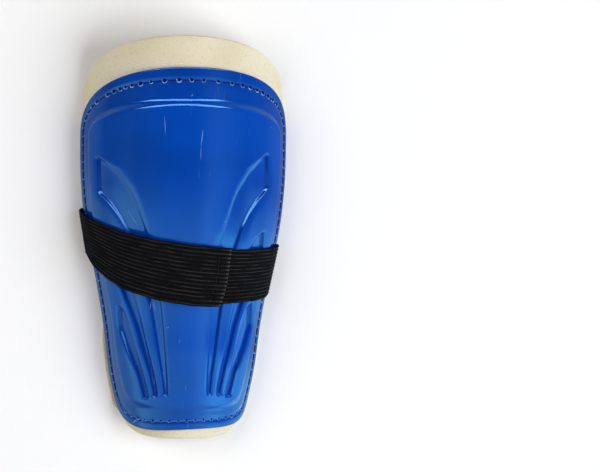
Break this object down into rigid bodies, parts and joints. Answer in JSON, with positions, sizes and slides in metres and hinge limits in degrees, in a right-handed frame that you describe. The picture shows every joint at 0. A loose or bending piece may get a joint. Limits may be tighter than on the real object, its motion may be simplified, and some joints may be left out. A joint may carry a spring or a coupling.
{
  "type": "shin guard",
  "caption": "Soccer shin guard: moulded plastic shell with a raised panel and tapered grooves, sewn to a foam pad, with an elastic strap right round it.",
  "frame": {"origin": "middle of the guard on the surface that it lies on, hollow side down", "axes": "+Z out of the front, +Y to the knee end, +X to the right as the front is seen"},
  "size_m": [0.1094, 0.214, 0.0444],
  "materials": {
    "shell": "glossy moulded blue polypropylene",
    "foam": "matt cream closed-cell foam",
    "elastic": "ribbed black elastic webbing",
    "hook_tape": "black hook fastener"
  },
  "bodies": {
    "root": {"shell": "shell", "foam_pad": "foam", "strap": "elastic", "hook_tape": "hook_tape"}
  },
  "joints": []
}
